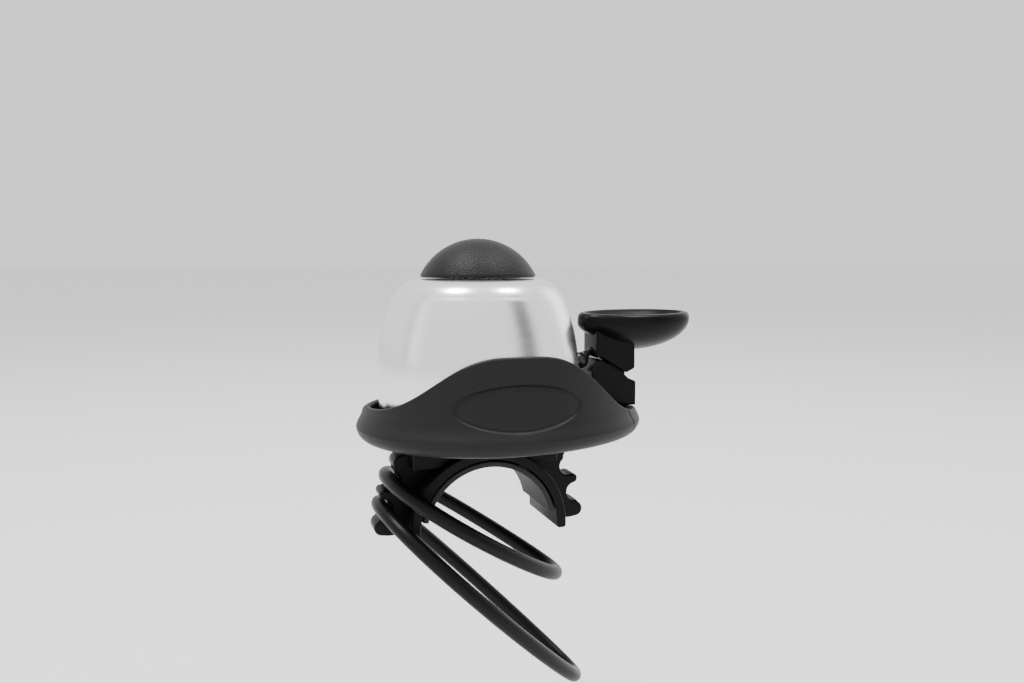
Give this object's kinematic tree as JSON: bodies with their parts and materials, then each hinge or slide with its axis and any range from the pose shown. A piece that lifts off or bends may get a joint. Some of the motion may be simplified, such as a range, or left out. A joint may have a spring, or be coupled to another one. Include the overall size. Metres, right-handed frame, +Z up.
{
  "type": "bicycle bell",
  "caption": "Dome bell in an egg-shaped tray with a front shield and thumb lever, on a hooked handlebar saddle with two rubber rings.",
  "frame": {"origin": "centre of the handlebar that the saddle sits on, under the dome's axis", "axes": "+Z up the dome's axis, +X towards the thumb lever, +Y along the handlebar, away from the shield"},
  "size_m": [0.0741, 0.0494, 0.0971],
  "materials": {
    "satin_aluminium": "spun and satin polished, with faint turning lines",
    "grained_black_plastic": "fine spark-eroded grain",
    "satin_charcoal_plastic": "moulded, fine matt texture",
    "smooth_black_plastic": "moulded, soft gloss",
    "saddle_black_plastic": "moulded, satin",
    "grey_rubber": "matt moulded rubber",
    "black_rubber": "satin moulded rubber with a faint parting line",
    "natural_nylon": "moulded, unpainted",
    "brass": "turned",
    "zinc_plated_steel": "bright zinc plated",
    "spring_steel": "drawn wire",
    "black_oxide_steel": "black oxide, lightly polished"
  },
  "bodies": {
    "root": {"dome": "satin_aluminium", "dome_cap": "grained_black_plastic", "dome_screw": "zinc_plated_steel", "dome_washer": "zinc_plated_steel", "dome_bush": "natural_nylon", "post_insert": "brass", "base": "satin_charcoal_plastic", "lever_bracket": "smooth_black_plastic", "bracket_screw_inner": "zinc_plated_steel", "bracket_screw_outer": "zinc_plated_steel", "lever_pin": "zinc_plated_steel", "lever_spring": "spring_steel", "saddle": "saddle_black_plastic", "saddle_pad": "grey_rubber", "saddle_screw": "zinc_plated_steel", "saddle_washer": "zinc_plated_steel", "saddle_nut": "zinc_plated_steel"},
    "lever": {"thumb_lever": "smooth_black_plastic", "hammer": "black_oxide_steel"},
    "upper_ring": {"rubber_ring_upper": "black_rubber"},
    "lower_ring": {"rubber_ring_lower": "black_rubber"}
  },
  "joints": [
    {"name": "lever_tilt", "type": "hinge", "parent": "root", "child": "lever", "pos_m": [0.0306, 0, 0.028], "axis": [0, 1, 0], "range_deg": [0, 12], "stiffness_Nm_per_rad": 0.02, "deforming": ["lever_spring"]},
    {"name": "upper_ring_swing", "type": "hinge", "parent": "root", "child": "upper_ring", "pos_m": [-0.0193, 0, 0.0104], "axis": [0, 1, 0], "range_deg": [-11, 5]},
    {"name": "lower_ring_swing", "type": "hinge", "parent": "root", "child": "lower_ring", "pos_m": [-0.0209, 0, 0.0047], "axis": [0, 1, 0], "range_deg": [-4, 44]}
  ]
}
